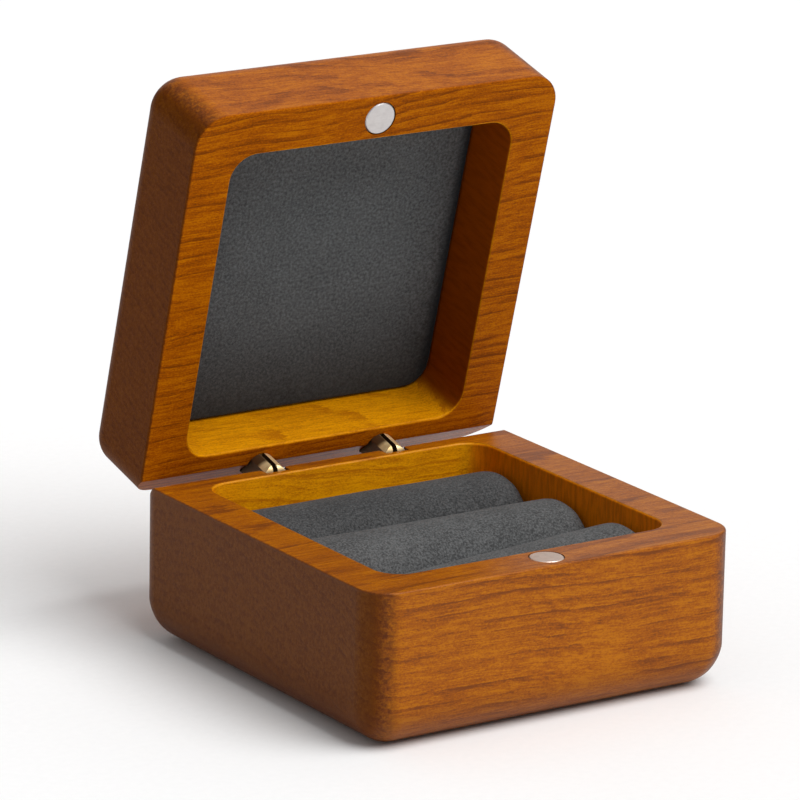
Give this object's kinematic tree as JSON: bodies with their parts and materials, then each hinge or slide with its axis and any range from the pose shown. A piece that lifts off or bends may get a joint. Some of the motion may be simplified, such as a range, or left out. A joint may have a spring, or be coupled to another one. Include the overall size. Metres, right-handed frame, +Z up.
{
  "type": "ring box",
  "caption": "Square wooden ring box shown open: hinged lid with suede pad, magnetic catch, and suede ring rolls set in the base pocket.",
  "frame": {"origin": "centre of the base's flat underside", "axes": "+X along the hinges, -Y the front with the magnetic catch, +Z up"},
  "size_m": [0.062, 0.0777, 0.0839],
  "materials": {
    "base_wood": "satin clear lacquer over straight-grained warm brown hardwood",
    "lid_wood": "satin clear lacquer over straight-grained warm brown hardwood",
    "magnet_plating": "satin nickel plating",
    "hinge_brass": "turned and milled, lightly rubbed",
    "pin_brass": "drawn wire",
    "card": "black board",
    "foam": "open-cell foam",
    "roll_suede": "brushed microfibre suede",
    "pad_suede": "brushed microfibre suede"
  },
  "bodies": {
    "base": {"base_body": "base_wood", "base_magnet": "magnet_plating", "hinge_barrel_base_left": "hinge_brass", "hinge_barrel_base_right": "hinge_brass", "insert_board": "card", "roll_core_back": "foam", "roll_core_middle": "foam", "roll_core_front": "foam", "roll_cover_back": "roll_suede", "roll_cover_middle": "roll_suede", "roll_cover_front": "roll_suede"},
    "lid": {"lid_body": "lid_wood", "lid_magnet": "magnet_plating", "hinge_barrel_lid_left": "hinge_brass", "hinge_barrel_lid_right": "hinge_brass", "hinge_pin_left": "pin_brass", "hinge_pin_right": "pin_brass", "lid_pad_board": "card", "lid_pad_foam": "foam", "lid_pad_suede": "pad_suede"}
  },
  "joints": [
    {"name": "lid_hinge", "type": "hinge", "parent": "base", "child": "lid", "pos_m": [0, 0.02915, 0.0214], "axis": [-1, 0, 0], "range_deg": [-75, 20]}
  ]
}
